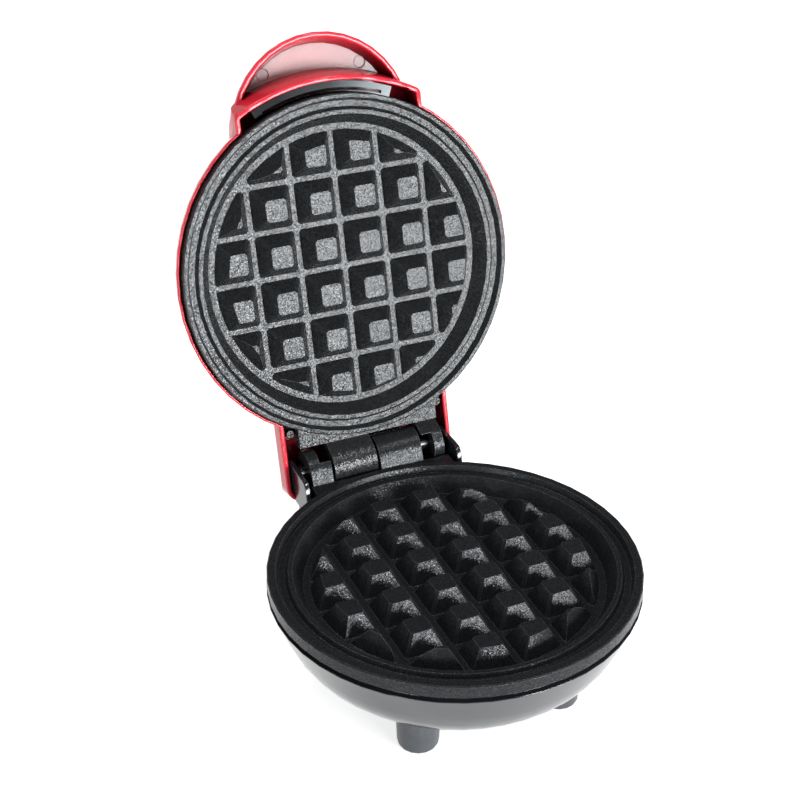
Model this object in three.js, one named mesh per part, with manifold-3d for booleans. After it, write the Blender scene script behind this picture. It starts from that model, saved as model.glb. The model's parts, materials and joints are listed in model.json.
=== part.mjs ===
// Mini waffle maker with a hinged lid, stood open on its four feet.
// Millimetres, +Z up, hinge along X at the back (+Y), front at -Y, mirror plane of the casings at x = 0.
// The two cooking plates are castings of one pattern: the upper one is the lower one turned over.

import * as THREE from 'three';
import { mergeVertices } from 'three/addons/utils/BufferGeometryUtils.js';
import Module from 'manifold-3d';

const wasm = await Module();
wasm.setup();

// Driving dimensions

const overrun = 1;                 // how far a cutting tool runs past what it cuts
const seatGap = 0.3;               // between two pieces that seat on each other

// Hinge
const hingeReach = 9.3;            // hinge axis behind the upper plate's rim
const openAngle = 104;             // lid angle at its stop, in degrees
const contactDrop = 1;             // plates meet this far under the hinge axis
const knuckleRadius = 7.2;
const pinRadius = 2.2;
const pinClearance = 0.3;
const barrelInnerEnd = 0.5;        // the two central barrels start this far from the middle
const barrelLength = 16;
const lugGap = 1.1;                // between a barrel and the next lug
const lugLength = 7.7;
const lugCheekLength = 3.8;        // the part of a lug that goes all round the pin
const lugNotchSetback = 5;         // the full-width part of a lug stops this far before the axis

// Cooking plates
const upperRimRadius = 59;
const lowerRimReach = 1.3;         // the lower plate's rim reaches this far past the upper plate's
const rimWidth = 1.5;
const grooveWidth = 4;
const ridgeWidth = 1.4;
const cavityDraft = 3.3;           // from the cavity's edge in to its floor
const rimChamfer = 0.35;
const skirtHeight = 4.4;
const lowerBackChamfer = 0.3;
const upperBackChamfer = 0.6;
const grooveDepth = 2.2;
const grooveDraft = 1;
const ridgeDrop = 0.8;             // the inner ridge stays this far under the rim
const cavityDepth = 6.1;
const plateWall = 2.2;
const studPitch = 15.9;
const studTop = 7.35;
const studBase = 14.1;
const studCorner = 0.8;            // chamfer at a stud's four corners
const studsAcross = 6;
const studFieldInset = 2.2;        // round edge of the stud field inside the cavity floor's edge
const tabHalfWidth = 26;
const tabLength = 8.4;             // from the plate's rear edge line to the hinge axis
const tabDrop = 0.4;

// Heater behind each plate
const heaterInset = 19.8;          // its circle inside the cavity floor's edge
const heaterTubeRadius = 3.2;
const heaterSweep = 300;           // degrees
const heaterPinRadius = 1.2;
const heaterPinLength = 8;
const heaterBossRadius = 4.5;
const clampThickness = 1.2;
const clampWidth = 12;
const clampOverlap = 2.5;
const shieldThickness = 0.8;
const shieldFlare = 1.5;
const lidShieldInset = 3.8;        // its floor inside the cavity floor's edge
const tongueWidth = 2;
const tongueSlot = 1.1;            // open slot between the tongue's band and the brim
const tongueBridgeAngle = 3;       // the band is joined to the brim over this angle at each end
const tongueLeftAngle = 25.5;      // the lid shield's tongue, from the front towards each side
const tongueRightAngle = 22;
const heaterScrewRadius = 2;
const heaterScrewGrip = 6;         // thread inside the boss
const screwHeadShare = 1.85;       // head radius over shank radius
const screwHeadHeightShare = 1.1;  // head height over shank radius
const driveSlotWidthShare = 0.55;  // slot width over shank radius

// Base casing
const baseLipReach = 0.2;          // the lip reaches this far past the lower plate's rim
const baseLipDrop = 7;             // lip under the hinge axis
const baseFloorRadiusShare = 0.628;
const legHeight = 10;              // underside of the bowl above the table
const baseFloorDrop = 35;          // underside of the bowl under the hinge axis
const bowlShoulderRadiusShare = 0.907;
const bowlShoulderDropShare = 0.45;
const bowlHeelRadiusShare = 1.475;
const bowlHeelDropShare = 0.662;
const baseWall = 2;
const ledgeWidth = 1.5;

// Hinge housing at the back of the base
const housingHalfWidth = 29.6;
const housingBack = 1.3;           // rear wall in front of the hinge axis
const housingTopDrop = 8.6;
const housingWallDrop = 24;        // the rear wall is straight down to here
const housingCorner = 4;
const housingHeel = 12;            // the wall turns into the floor over this length
const housingFloorDrop = 29;       // its inner floor
const earThickness = 1.6;
const earRise = 2.3;
const earFront = 13.5;             // foot of the ear's front edge, before the axis
const earBrow = 9.5;               // front end of its level top
const earBack = 3.6;               // back end of its level top
const earSweepRadius = 7.6;

// Feet
const footRadius = 7.2;
const footTaper = 0.5;
const footEdge = 1.4;
const frontFootX = 25;
const frontFootY = -27;
const rearFootX = 22;
const rearFootSetback = 18.3;      // before the hinge axis
const footSpigotRadius = 3.2;
const footSpigotLength = 3.4;

// Base screws
const baseScrewInset = 5.3;        // their circle inside the cavity floor's edge
const baseScrewCount = 3;
const baseScrewRadius = 1.5;
const baseScrewGrip = 3.8;
const postRadius = 4.2;
const postWebHeight = 2.4;         // plastic under the screw head
const plateBossRadius = 3.6;
const plateBossHeight = 3.2;

// Lid casing
const lidRimReach = 1.5;           // the rim reaches this far past the upper plate's
const lidRimRise = 1.85;           // rim above the hinge axis when closed
const lidHeight = 32;              // top above the hinge axis when closed
const lidWall = 1.75;
const domeShoulderRiseShare = 0.3;
const domeCrownRadiusShare = 0.8;
const frontWallReach = 5.6;        // wall between the plate and the handle's hollow, past the plate's rim
const frontWallCurve = 68;
const frontWallHalfWidth = 33.2;
const frontWallCorner = 2.6;
const frontWallRootReach = 6;      // its ends run into the dome this far behind the handle's centre
const frontWallDraft = 1.5;        // it leans out by this much on its way to the handle's roof

// Handle: a hollow crescent, open underneath
const handleRadius = 32.4;
const handleInset = 12.6;          // its centre inside the upper plate's rim
const handleRimRise = 10.4;        // its underside above the hinge axis when closed
const handleRoof = 16;             // ceiling of its hollow above the hinge axis
const handleHollowDraft = 2.15;
const handleCrown = 19;            // top of its outer skin
const handleShoulderRise = 16.5;
const handleBrowRadiusShare = 0.95;
const handleRootReach = 2;         // skin around the front wall's ends, past the handle's own
const handlePinMarkX = 17.5;
const handlePinMarkReach = 20.1;   // from the handle's centre
const handlePinMarkRadius = 2.1;
const handlePinMarkDepth = 0.35;

// Hood over the hinge
const hoodHalfWidth = 31.9;
const hoodBack = 11.6;             // rear wall behind the hinge axis
const hoodTop = 11.15;             // roof above the hinge axis when closed
const hoodFront = 24;              // it reaches this far before the axis, into the dome
const hoodCorner = 5.5;
const hoodEdge = 3.6;

// Lid screws, lens and lamp
const lidScrewX = 28;
const lidScrewSetback = 13.4;      // before the hinge axis
const lidScrewRadius = 0.9;
const lidScrewGrip = 4.2;
const lidBossRadius = 2.6;
const shieldEarRadius = 1.85;
const lensY = -30;
const lensRadius = 3.4;
const lensFlange = 1.3;
const lensFlangeThickness = 1.1;
const lensProud = 0.9;
const lensEdge = 0.7;
const lensWall = 0.9;
const lampRadius = 2;
const lampHeadroom = 5.4;          // what the lamp leaves free between the shield and the dome's top

// Controls in the base
const thermostatRadius = 7;
const thermostatHeight = 5.2;
const thermostatSpacing = 1.8;     // to the element's tube
const bladeWidth = 4;
const bladeThickness = 0.8;
const bladeLength = 2.2;
const bladeSpacing = 7;
const fuseRadius = 2.3;
const fuseLength = 20;
const fuseEndRadius = 0.8;
const fuseLeadLength = 5;
const fuseInset = 10.8;            // inside the element's tube
const terminalSetback = 18.3;      // before the hinge axis
const terminalWidth = 20;
const terminalDepth = 10;
const terminalHeight = 8;
const terminalScrewRadius = 1.9;
const terminalScrewDepth = 2.5;
const glandDrop = 18.6;            // under the hinge axis
const glandFlangeRadius = 5.4;
const glandFlangeThickness = 1.6;
const glandBodyRadius = 3.8;
const glandBoreRadius = 2.3;
const glandInside = 3.2;

// Facets round each form
const plateFacets = 48;
const handleFacets = 36;
const shieldFacets = 32;
const footFacets = 16;
const smallFacets = 12;
const tubeFacets = 8;
const arcFacets = 10;

// Values that follow

const hingeHeight = baseFloorDrop + legHeight;
const hingeSetback = upperRimRadius + hingeReach;     // hinge axis behind the centre of the plates
const lowerRimRadius = upperRimRadius + lowerRimReach;
const rimInnerRadius = upperRimRadius - rimWidth;
const ridgeOuterRadius = rimInnerRadius - grooveWidth;
const cavityRadius = ridgeOuterRadius - ridgeWidth;
const cavityFloorRadius = cavityRadius - cavityDraft;
const studFieldRadius = cavityFloorRadius - studFieldInset;
const heaterRadius = cavityFloorRadius - heaterInset;
const heaterInside = heaterRadius - heaterTubeRadius;
const thermostatY = thermostatRadius + thermostatSpacing - heaterInside;
const fuseY = heaterInside - fuseInset;
const lidShieldFloorRadius = cavityFloorRadius - lidShieldInset;
const baseLipRadius = lowerRimRadius + baseLipReach;
const baseFloorRadius = baseLipRadius * baseFloorRadiusShare;
const ledgeOuterRadius = baseLipRadius - baseWall;
const rearFootY = hingeSetback - rearFootSetback;
const terminalY = hingeSetback - terminalSetback;
const baseScrewCircle = cavityFloorRadius - baseScrewInset;
const lidRimRadius = upperRimRadius + lidRimReach;
const frontWallY = -upperRimRadius - frontWallReach;
const handleCentreY = handleInset - upperRimRadius;
const handlePinMarkY = handleCentreY - handlePinMarkReach;
const frontWallRootY = handleCentreY + frontWallRootReach;
const lidScrewY = hingeSetback - lidScrewSetback;
const lowerRimPlane = -contactDrop - seatGap / 2;     // seen from the hinge axis
const upperRimPlane = -contactDrop + seatGap / 2;
const castingBack = cavityDepth + plateWall;          // rim plane to the back of a plate
const clampLevel = castingBack + 2 * heaterTubeRadius + 2 * seatGap;
const shieldLevel = clampLevel + clampThickness + seatGap;
const shieldBack = shieldLevel + shieldThickness;
const lampLength = lidHeight - shieldBack - lampHeadroom;
const brimLevel = skirtHeight + seatGap;              // the lid shield's brim behind the rim plane
const plateUnderside = lowerRimPlane - skirtHeight;
const postTop = lowerRimPlane - castingBack - plateBossHeight - seatGap;
const housingUnderside = -housingFloorDrop - baseWall;

// Solids from three.js geometry

function solid(geometry) {
  const bare = geometry.clone();
  bare.deleteAttribute('normal');
  bare.deleteAttribute('uv');
  const merged = mergeVertices(bare);
  const position = merged.getAttribute('position');
  const index = merged.getIndex().array;
  const triangles = [];
  for (let i = 0; i < index.length; i += 3) {
    const [a, b, c] = [index[i], index[i + 1], index[i + 2]];
    if (a !== b && b !== c && c !== a) triangles.push(a, b, c);
  }
  const corners = [new THREE.Vector3(), new THREE.Vector3(), new THREE.Vector3()];
  let volume = 0;
  for (let i = 0; i < triangles.length; i += 3) {
    corners.forEach((corner, k) => corner.fromBufferAttribute(position, triangles[i + k]));
    volume += corners[0].dot(corners[1].clone().cross(corners[2]));
  }
  if (volume < 0) triangles.reverse();
  return new wasm.Manifold(new wasm.Mesh({
    numProp: 3,
    vertProperties: new Float32Array(position.array),
    triVerts: new Uint32Array(triangles),
  }));
}

function geometryOf(body) {
  const mesh = body.getMesh();
  const geometry = new THREE.BufferGeometry();
  geometry.setAttribute('position', new THREE.BufferAttribute(mesh.vertProperties, 3));
  geometry.setIndex(new THREE.BufferAttribute(mesh.triVerts, 1));
  geometry.computeVertexNormals();
  return geometry;
}

// A profile of [radius, height] points turned about the Y axis
function turnedGeometry(points, facets) {
  const profile = points.map(([radius, height]) => new THREE.Vector2(radius, height));
  if (points[0][0] !== 0) profile.push(profile[0].clone());
  return new THREE.LatheGeometry(profile, facets);
}

// The same profile turned about a vertical axis at (x, y)
function turned(points, facets, x = 0, y = 0) {
  return solid(turnedGeometry(points, facets).rotateX(Math.PI / 2).translate(x, y, 0));
}

function cylinder(radius, from, to, facets, x = 0, y = 0) {
  return turned([[0, from], [radius, from], [radius, to], [0, to]], facets, x, y);
}

function block(xFrom, xTo, yFrom, yTo, zFrom, zTo) {
  const geometry = new THREE.BoxGeometry(xTo - xFrom, yTo - yFrom, zTo - zFrom);
  return solid(geometry.translate((xFrom + xTo) / 2, (yFrom + yTo) / 2, (zFrom + zTo) / 2));
}

// A plan outline raised from one height to another
function raised(shape, from, to, curveSegments = arcFacets) {
  const geometry = new THREE.ExtrudeGeometry(shape, { depth: to - from, bevelEnabled: false, curveSegments });
  return solid(geometry.translate(0, 0, from));
}

// A side outline, drawn with Y across and Z up, run along X and moved back by y
function runAlongX(shape, from, to, curveSegments, y = 0, z = 0) {
  const geometry = new THREE.ExtrudeGeometry(shape, { depth: to - from, bevelEnabled: false, curveSegments });
  const turn = new THREE.Matrix4().makeBasis(
    new THREE.Vector3(0, 1, 0), new THREE.Vector3(0, 0, 1), new THREE.Vector3(1, 0, 0));
  return solid(geometry.translate(0, 0, from).applyMatrix4(turn).translate(0, y, z));
}

// A front outline, drawn with X across and Z up, run along Y
function runAlongY(shape, from, to, curveSegments) {
  const geometry = new THREE.ExtrudeGeometry(shape, { depth: to - from, bevelEnabled: false, curveSegments });
  return solid(geometry.translate(0, 0, -to).rotateX(Math.PI / 2));
}

// Points along a profile curve, each moved square to it towards the inside by a wall
function offsetPoints(curve, count, wall) {
  const points = [];
  for (let i = 0; i <= count; i += 1) {
    const at = curve.getPoint(i / count);
    const along = curve.getTangent(i / count);
    points.push([Math.max(0, at.x - along.y * wall), at.y + along.x * wall]);
  }
  return points;
}

// A pan-head screw pointing up, the seat of its head at height zero
function screw(radius, length) {
  const headRadius = radius * screwHeadShare;
  const headHeight = radius * screwHeadHeightShare;
  const crown = headHeight / 3;
  const body = turned([
    [0, -headHeight], [headRadius - crown, -headHeight], [headRadius, -headHeight + crown],
    [headRadius, 0], [radius, 0], [radius, length], [0, length],
  ], smallFacets);
  const long = headRadius * 2 / 3;
  const wide = radius * driveSlotWidthShare / 2;
  const slot = (x, y) => block(-x, x, -y, y, -headHeight - overrun, -headHeight / 2);
  return body.subtract(slot(long, wide)).subtract(slot(wide, long));
}

// Cooking plates

function plateDish(rimRadius, backChamfer) {
  const dishRadius = cavityFloorRadius + plateWall;
  return turned([
    [0, -cavityDepth],
    [cavityFloorRadius, -cavityDepth],
    [cavityRadius, -ridgeDrop],
    [ridgeOuterRadius, -ridgeDrop],
    [ridgeOuterRadius + grooveDraft, -grooveDepth],
    [rimInnerRadius - grooveDraft, -grooveDepth],
    [rimInnerRadius, 0],
    [rimRadius - rimChamfer, 0],
    [rimRadius, -rimChamfer],
    [rimRadius, -skirtHeight + backChamfer],
    [rimRadius - backChamfer, -skirtHeight],
    [dishRadius + castingBack - skirtHeight, -skirtHeight],
    [dishRadius, -castingBack],
    [0, -castingBack],
  ], plateFacets);
}

// One waffle stud: a square frustum with chamfered corners, its top in the rim plane and its root in the floor
function stud(x, y) {
  const root = cavityDepth + plateWall / 2;
  const draft = (studBase - studTop) / cavityDepth;
  const ring = (size, height) => {
    const half = size / 2;
    const flat = half - studCorner;
    return [
      [half, -flat], [half, flat], [flat, half], [-flat, half],
      [-half, flat], [-half, -flat], [-flat, -half], [flat, -half],
    ].map(([across, along]) => [x + across, y + along, height]);
  };
  const points = [...ring(studTop + draft * root, -root), ...ring(studTop, 0)];
  const sides = points.length / 2;
  const index = [];
  for (let i = 0; i < sides; i += 1) {
    const next = (i + 1) % sides;
    index.push(i, next, sides + next, i, sides + next, sides + i);
    if (i > 0 && i < sides - 1) index.push(0, i + 1, i, sides, sides + i, sides + i + 1);
  }
  const geometry = new THREE.BufferGeometry();
  geometry.setAttribute('position', new THREE.Float32BufferAttribute(points.flat(), 3));
  geometry.setIndex(index);
  return solid(geometry);
}

// The studs stand on a square grid whose middle is a crossing of two channels. The round edge of the field
// cuts the outer ones short, with the same draft as their sides.
function studField() {
  const middle = (studsAcross - 1) / 2;
  const root = cavityDepth + plateWall / 2;
  const draft = (studBase - studTop) / 2 / cavityDepth;
  const edge = turned([
    [0, -root],
    [studFieldRadius + draft * (root - cavityDepth), -root],
    [studFieldRadius - draft * cavityDepth, 0],
    [0, 0],
  ], plateFacets);
  let field = null;
  for (let column = 0; column < studsAcross; column += 1) {
    for (let row = 0; row < studsAcross; row += 1) {
      const x = (column - middle) * studPitch;
      const y = (row - middle) * studPitch;
      const nearest = Math.hypot(Math.abs(x) - studBase / 2, Math.abs(y) - studBase / 2);
      const farthest = Math.hypot(Math.abs(x) + studBase / 2, Math.abs(y) + studBase / 2);
      if (nearest < studFieldRadius - studCorner) {
        const piece = farthest < studFieldRadius ? stud(x, y) : stud(x, y).intersect(edge);
        field = field ? field.add(piece) : piece;
      }
    }
  }
  return field;
}

// Side outline of a knuckle, drawn round the hinge axis: a round about the pin with two flanks that run
// tangent to it from the tab's rear edge
function knuckleShape(axisRise) {
  const edge = -tabLength;
  const top = -axisRise - tabDrop;
  const bottom = -axisRise - skirtHeight;
  const touch = (z, side) => Math.atan2(z, edge) + side * Math.acos(knuckleRadius / Math.hypot(edge, z));
  const shape = new THREE.Shape();
  shape.moveTo(edge - overrun, bottom);
  shape.lineTo(edge - overrun, top);
  shape.lineTo(edge, top);
  shape.absarc(0, 0, knuckleRadius, touch(top, -1), touch(bottom, 1), true);
  shape.lineTo(edge, bottom);
  return shape;
}

// One casting with its rim plane at height zero and the cooking side up: the dish with its studs, the rear
// tab, a central barrel on the right and a lug on the left. axisRise is the hinge axis above the rim plane.
function plateCasting(rimRadius, backChamfer, axisRise) {
  const barrelEnd = barrelInnerEnd + barrelLength;
  const lugStart = barrelEnd + lugGap;
  const lugEnd = lugStart + lugLength;
  const tab = block(-tabHalfWidth, tabHalfWidth, rimRadius / 2, hingeSetback - tabLength, -skirtHeight, -tabDrop)
    .subtract(cylinder((rimRadius + rimInnerRadius) / 2, -castingBack, overrun, plateFacets));
  const behindTab = block(-tabHalfWidth, tabHalfWidth, hingeSetback - tabLength, hingeSetback,
    -castingBack, overrun);
  const shape = knuckleShape(axisRise);
  const barrel = runAlongX(shape, barrelInnerEnd, barrelEnd, arcFacets, hingeSetback, axisRise);
  const lug = runAlongX(shape, -lugEnd, -lugStart, arcFacets, hingeSetback, axisRise);
  const notch = block(-lugEnd + lugCheekLength, -lugStart + overrun, hingeSetback - lugNotchSetback,
    hingeSetback + 2 * knuckleRadius, axisRise - 2 * knuckleRadius, axisRise + 2 * knuckleRadius);
  const boreRadius = pinRadius + pinClearance;
  const bore = solid(new THREE.CylinderGeometry(boreRadius, boreRadius, 4 * lugEnd, smallFacets)
    .rotateZ(Math.PI / 2).translate(0, hingeSetback, axisRise));
  const root = -cavityDepth - plateWall / 2;
  const bossEnd = -clampLevel + seatGap;
  const boss = cylinder(heaterBossRadius, bossEnd, root, smallFacets);
  const bossHole = cylinder(heaterScrewRadius + seatGap, bossEnd - overrun, bossEnd + heaterScrewGrip, smallFacets);
  return plateDish(rimRadius, backChamfer)
    .subtract(behindTab)
    .add(tab)
    .add(barrel)
    .add(lug.subtract(notch))
    .subtract(bore)
    .add(studField())
    .add(boss)
    .subtract(bossHole);
}

function baseScrewPlaces() {
  const places = [];
  for (let i = 0; i < baseScrewCount; i += 1) {
    const angle = i * 2 * Math.PI / baseScrewCount - Math.PI / 2;
    places.push([baseScrewCircle * Math.cos(angle), baseScrewCircle * Math.sin(angle)]);
  }
  return places;
}

// The lower plate also has a boss over each base screw
function lowerPlate() {
  const root = -cavityDepth - plateWall / 2;
  const bossEnd = -castingBack - plateBossHeight;
  let body = plateCasting(lowerRimRadius, lowerBackChamfer, -lowerRimPlane);
  for (const [x, y] of baseScrewPlaces()) {
    body = body
      .add(cylinder(plateBossRadius, bossEnd, root, smallFacets, x, y))
      .subtract(cylinder(baseScrewRadius + seatGap, bossEnd - overrun, bossEnd + baseScrewGrip,
        smallFacets, x, y));
  }
  return body;
}

// Heater set, seen from the plate's rim plane with the back of the plate downward

class LevelArc extends THREE.Curve {
  constructor(radius, from, to, level) {
    super();
    Object.assign(this, { radius, from, to, level });
  }

  getPoint(t, target = new THREE.Vector3()) {
    const angle = this.from + (this.to - this.from) * t;
    return target.set(this.radius * Math.cos(angle), this.radius * Math.sin(angle), this.level);
  }
}

// A tubular element in an open ring, with a terminal pin at each end of the gap at the back
function heatingElement() {
  const level = -castingBack - seatGap - heaterTubeRadius;
  const half = THREE.MathUtils.degToRad(heaterSweep / 2);
  const front = -Math.PI / 2;
  const section = new THREE.Shape();
  section.absarc(0, 0, heaterTubeRadius, 0, 2 * Math.PI);
  const steps = 18;
  let body = solid(new THREE.ExtrudeGeometry(section, {
    extrudePath: new LevelArc(heaterRadius, front - half, front + half, level),
    steps,
    curveSegments: tubeFacets / 2,
    bevelEnabled: false,
  }));
  for (const side of [-1, 1]) {
    const angle = front + side * half;
    const heading = new THREE.Vector3(-Math.sin(angle) * side, Math.cos(angle) * side, 0);
    const reach = heaterPinLength / 2 - overrun;
    const pin = new THREE.CylinderGeometry(heaterPinRadius, heaterPinRadius, heaterPinLength, tubeFacets)
      .applyQuaternion(new THREE.Quaternion().setFromUnitVectors(new THREE.Vector3(0, 1, 0), heading))
      .translate(
        heaterRadius * Math.cos(angle) + heading.x * reach,
        heaterRadius * Math.sin(angle) + heading.y * reach,
        level);
    body = body.add(solid(pin));
  }
  return body;
}

// A flat bar with round ends that presses the element against the plate
function elementClamp() {
  const end = clampWidth / 2;
  const straight = heaterRadius + clampOverlap - end;
  const outline = new THREE.Shape();
  outline.absarc(straight, 0, end, -Math.PI / 2, Math.PI / 2);
  outline.absarc(-straight, 0, end, Math.PI / 2, Math.PI * 3 / 2);
  return raised(outline, -clampLevel - clampThickness, -clampLevel, arcFacets / 2)
    .subtract(cylinder(heaterScrewRadius + seatGap, -shieldBack, 0, smallFacets));
}

// A pressed dish: its floor behind the clamp and its rim turned towards the plate
function lowerHeatShield() {
  const hole = heaterScrewRadius + seatGap;
  const floor = heaterRadius + heaterTubeRadius + clampOverlap;
  const rimTop = castingBack + heaterTubeRadius;
  return turned([
    [hole, -shieldBack],
    [floor, -shieldBack],
    [floor + shieldFlare, -rimTop],
    [floor + shieldFlare - shieldThickness, -rimTop],
    [floor - shieldThickness, -shieldLevel],
    [hole, -shieldLevel],
  ], shieldFacets);
}

// The lid's shield is a wider dish with a brim behind the plate's rim. A tongue runs from the brim into the
// casing's front pocket and ends in a slotted band, and an ear with a hole reaches each of the two lid screws.
function upperHeatShield() {
  const hole = heaterScrewRadius + seatGap;
  const brimBack = brimLevel + shieldThickness;
  const throat = cavityFloorRadius + plateWall + castingBack - skirtHeight + seatGap;
  const brim = rimInnerRadius;
  const front = -Math.PI / 2;
  const reach = upperRimRadius + frontWallReach - lidWall - seatGap;
  const tongueStart = front - THREE.MathUtils.degToRad(tongueRightAngle);
  const tongueEnd = front + THREE.MathUtils.degToRad(tongueLeftAngle);
  const tongueOutline = new THREE.Shape();
  tongueOutline.moveTo(0, 0);
  tongueOutline.lineTo(reach * Math.cos(tongueStart), reach * Math.sin(tongueStart));
  tongueOutline.absarc(0, 0, reach, tongueStart, tongueEnd);
  const middle = cylinder((throat + brim) / 2, -shieldBack, 0, shieldFacets);
  let body = turned([
    [hole, -shieldBack],
    [lidShieldFloorRadius, -shieldBack],
    [throat + shieldThickness, -brimBack],
    [brim, -brimBack],
    [brim, -brimLevel],
    [throat, -brimLevel],
    [lidShieldFloorRadius - shieldThickness / 2, -shieldLevel],
    [hole, -shieldLevel],
  ], shieldFacets);
  const bridge = THREE.MathUtils.degToRad(tongueBridgeAngle);
  const band = reach - tongueWidth;
  const slot = new THREE.Shape();
  slot.absarc(0, 0, band, tongueStart + bridge, tongueEnd - bridge);
  slot.absarc(0, 0, band - tongueSlot, tongueEnd - bridge, tongueStart + bridge, true);
  body = body
    .add(raised(tongueOutline, -brimBack, -brimLevel, 2 * arcFacets).subtract(middle))
    .subtract(raised(slot, -shieldBack, 0));
  for (const side of [-1, 1]) {
    const x = side * lidScrewX;
    const earReach = Math.hypot(x, lidScrewY);
    const arm = solid(new THREE.BoxGeometry(earReach / 2, 2 * shieldEarRadius, shieldThickness)
      .translate(earReach * 3 / 4, 0, -brimLevel - shieldThickness / 2)
      .rotateZ(Math.atan2(lidScrewY, x)));
    const ear = arm.add(cylinder(shieldEarRadius, -brimBack, -brimLevel, smallFacets, x, lidScrewY));
    const screwHole = cylinder(lidScrewRadius + seatGap, -shieldBack, 0, smallFacets, x, lidScrewY);
    body = body.add(ear.subtract(middle)).subtract(screwHole);
  }
  return body;
}

// Its head lies behind the shield and its tip near the end of the hole in the plate's boss
function heaterScrew() {
  return screw(heaterScrewRadius, shieldBack - clampLevel + seatGap + heaterScrewGrip);
}

// Base casing, seen from the hinge axis

function bowl(wall) {
  const depth = baseFloorDrop - baseLipDrop;
  const curve = new THREE.CubicBezierCurve(
    new THREE.Vector2(baseLipRadius, -baseLipDrop),
    new THREE.Vector2(baseLipRadius * bowlShoulderRadiusShare, -baseLipDrop - depth * bowlShoulderDropShare),
    new THREE.Vector2(baseFloorRadius * bowlHeelRadiusShare, -baseLipDrop - depth * bowlHeelDropShare),
    new THREE.Vector2(baseFloorRadius, -baseFloorDrop));
  const count = wall > 0 ? 4 : 7;
  const points = offsetPoints(curve, count, -wall);
  const [lipRadius] = points[0];
  const [, floorLevel] = points[count];
  if (wall > 0) points.unshift([0, overrun], [lipRadius, overrun]);
  else points.unshift([0, points[0][1]]);
  return turned([...points, [0, floorLevel]], plateFacets);
}

// Outside of the hinge housing, or its hollow when given a wall
function housing(wall) {
  const back = hingeSetback - housingBack - wall;
  const half = housingHalfWidth - wall;
  const corner = housingCorner - wall / 2;
  const top = -housingTopDrop - wall;
  const floor = housingUnderside + wall;
  const plan = new THREE.Shape();
  plan.moveTo(-half, 0);
  plan.lineTo(half, 0);
  plan.absarc(half - corner, back - corner, corner, 0, Math.PI / 2);
  plan.absarc(-half + corner, back - corner, corner, Math.PI / 2, Math.PI);
  const side = new THREE.Shape();
  side.moveTo(0, top);
  side.lineTo(back, top);
  side.lineTo(back, -housingWallDrop);
  side.quadraticCurveTo(back, floor, back - housingHeel, floor);
  side.lineTo(0, floor);
  return raised(plan, floor - overrun, 0, arcFacets / 2)
    .intersect(runAlongX(side, -half - overrun, half + overrun, arcFacets / 2));
}

// An ear beside the hinge, its back swept round the axis so that the hood clears it
function ear(side) {
  const foot = -housingTopDrop - baseWall;
  const shape = new THREE.Shape();
  shape.moveTo(-earFront, foot);
  shape.lineTo(-earFront, -baseLipDrop);
  shape.quadraticCurveTo(-earFront + overrun, earRise, -earBrow, earRise);
  shape.lineTo(earBack, earRise);
  shape.quadraticCurveTo(earSweepRadius, earRise, earSweepRadius, 0);
  shape.absarc(0, 0, earSweepRadius, 0, -Math.acos(-housingBack / earSweepRadius), true);
  shape.lineTo(-housingBack, foot);
  const from = side > 0 ? housingHalfWidth - earThickness : -housingHalfWidth;
  return runAlongX(shape, from, from + earThickness, arcFacets / 2, hingeSetback);
}

// The step inside the lip that closes the gap under the lower plate's skirt
function ledge() {
  const top = plateUnderside - seatGap;
  return turned([
    [ledgeOuterRadius - ledgeWidth, top],
    [ledgeOuterRadius, top],
    [ledgeOuterRadius, -baseLipDrop - baseWall],
    [ledgeOuterRadius - ledgeWidth, -baseLipDrop],
  ], plateFacets);
}

function footPlaces() {
  return [
    ['foot_front_left', -frontFootX, frontFootY, -baseFloorDrop],
    ['foot_front_right', frontFootX, frontFootY, -baseFloorDrop],
    ['foot_rear_left', -rearFootX, rearFootY, housingUnderside],
    ['foot_rear_right', rearFootX, rearFootY, housingUnderside],
  ];
}

function baseShell() {
  let body = bowl(0)
    .add(housing(0))
    .subtract(bowl(baseWall))
    .subtract(housing(baseWall))
    .add(ledge())
    .add(ear(-1))
    .add(ear(1));
  for (const [x, y] of baseScrewPlaces()) {
    const headRoom = baseScrewRadius * screwHeadShare + seatGap;
    const shankRoom = baseScrewRadius + seatGap;
    body = body
      .add(cylinder(postRadius, -baseFloorDrop, postTop, smallFacets, x, y).intersect(bowl(0)))
      .subtract(cylinder(headRoom, -hingeHeight, postTop - postWebHeight, smallFacets, x, y))
      .subtract(cylinder(shankRoom, -hingeHeight, postTop + overrun, smallFacets, x, y));
  }
  for (const [, x, y, level] of footPlaces()) {
    const top = level + footSpigotLength + 2 * overrun;
    body = body.subtract(cylinder(footSpigotRadius + seatGap, -hingeHeight, top, smallFacets, x, y));
  }
  const boreRadius = glandBodyRadius + seatGap;
  const wall = 2 * baseWall;
  const bore = new THREE.CylinderGeometry(boreRadius, boreRadius, 2 * wall, footFacets)
    .translate(0, hingeSetback - housingBack, -glandDrop);
  return body.subtract(solid(bore));
}

// A leg trimmed to the casing above it, with a spigot through the casing's floor
function foot(x, y, level) {
  const bottom = -hingeHeight;
  const edge = footEdge * (1 - Math.SQRT1_2);
  const toe = footRadius - footTaper;
  const top = -housingFloorDrop;
  const leg = turned([
    [0, bottom],
    [toe - footEdge, bottom],
    [toe - edge, bottom + edge],
    [toe, bottom + footEdge],
    [footRadius, top],
    [0, top],
  ], footFacets, x, y);
  const spigot = cylinder(footSpigotRadius, bottom + footEdge, level + footSpigotLength, smallFacets, x, y);
  return leg.subtract(bowl(-seatGap)).subtract(housing(-seatGap)).add(spigot);
}

// Lid casing, seen from the hinge axis with the lid closed

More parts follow.
